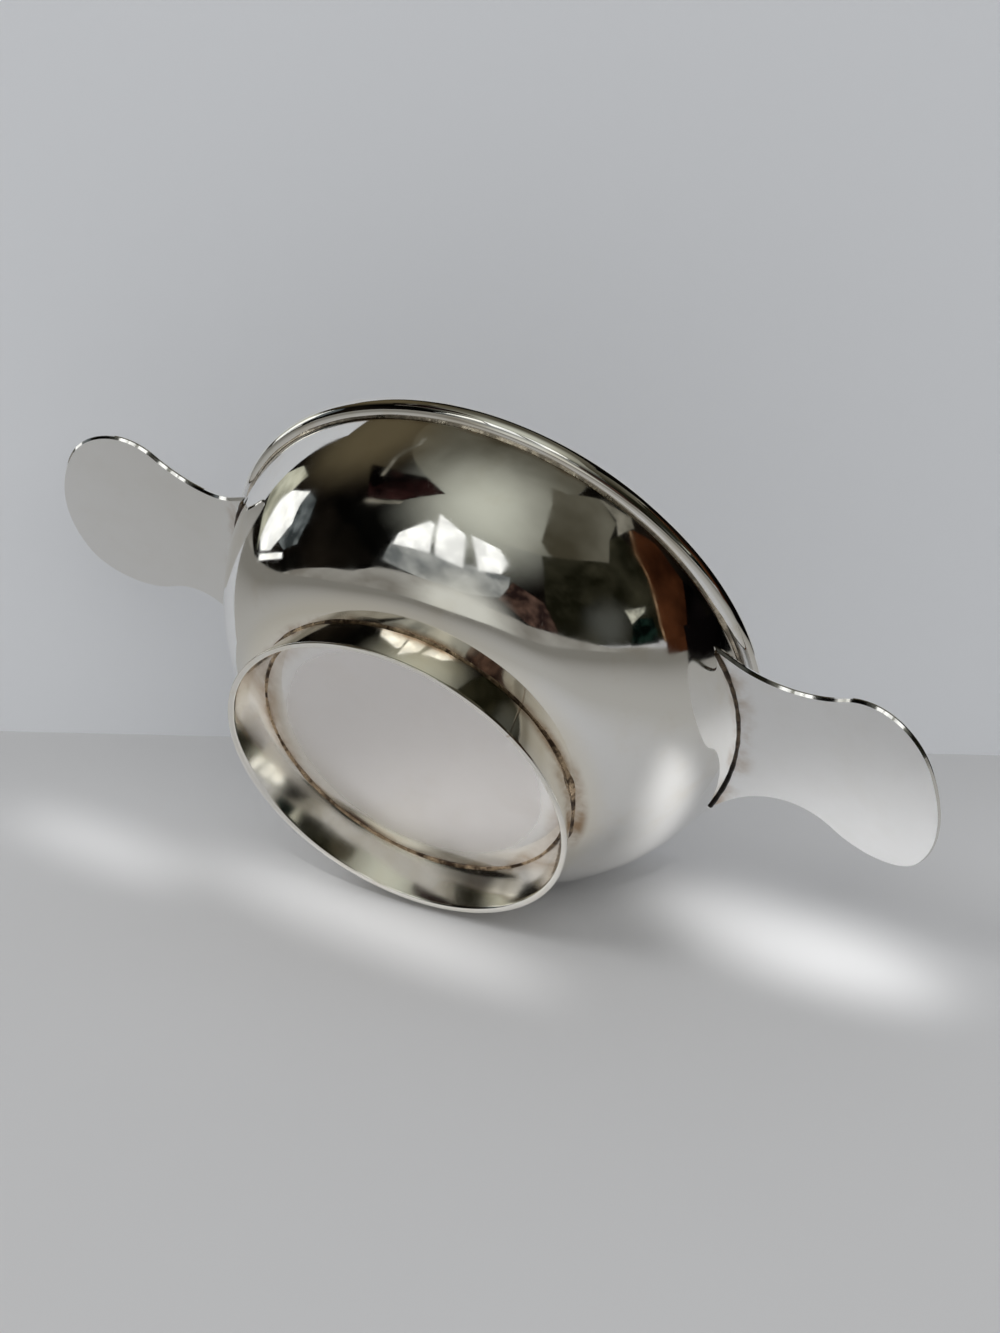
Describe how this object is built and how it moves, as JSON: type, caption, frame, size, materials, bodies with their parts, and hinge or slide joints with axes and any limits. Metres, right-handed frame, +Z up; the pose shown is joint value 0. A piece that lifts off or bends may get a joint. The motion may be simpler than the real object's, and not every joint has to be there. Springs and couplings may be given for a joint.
{
  "type": "quaich",
  "caption": "Shallow two-lugged silver drinking bowl with a half-round rim wire, arched fiddle-shaped lugs and a flared ring foot, soldered together.",
  "frame": {"origin": "centre of the foot's resting edge, on the bowl's axis", "axes": "+Z up the bowl's axis from foot to rim, +X through the right lug's tip, +Y across the lugs"},
  "size_m": [0.1524, 0.09, 0.0359],
  "materials": {
    "polished_silver": "bright polish with fine scratches and a warm tint of tarnish",
    "satin_silver": "satin, lightly scratched",
    "tarnished_solder": "dull brown tarnish"
  },
  "bodies": {
    "root": {"bowl": "polished_silver", "rim_wire": "polished_silver", "foot_ring": "polished_silver", "left_lug": "satin_silver", "right_lug": "satin_silver", "rim_solder": "tarnished_solder", "outer_foot_solder": "tarnished_solder", "inner_foot_solder": "tarnished_solder", "left_lug_solder": "tarnished_solder", "right_lug_solder": "tarnished_solder"}
  },
  "joints": []
}
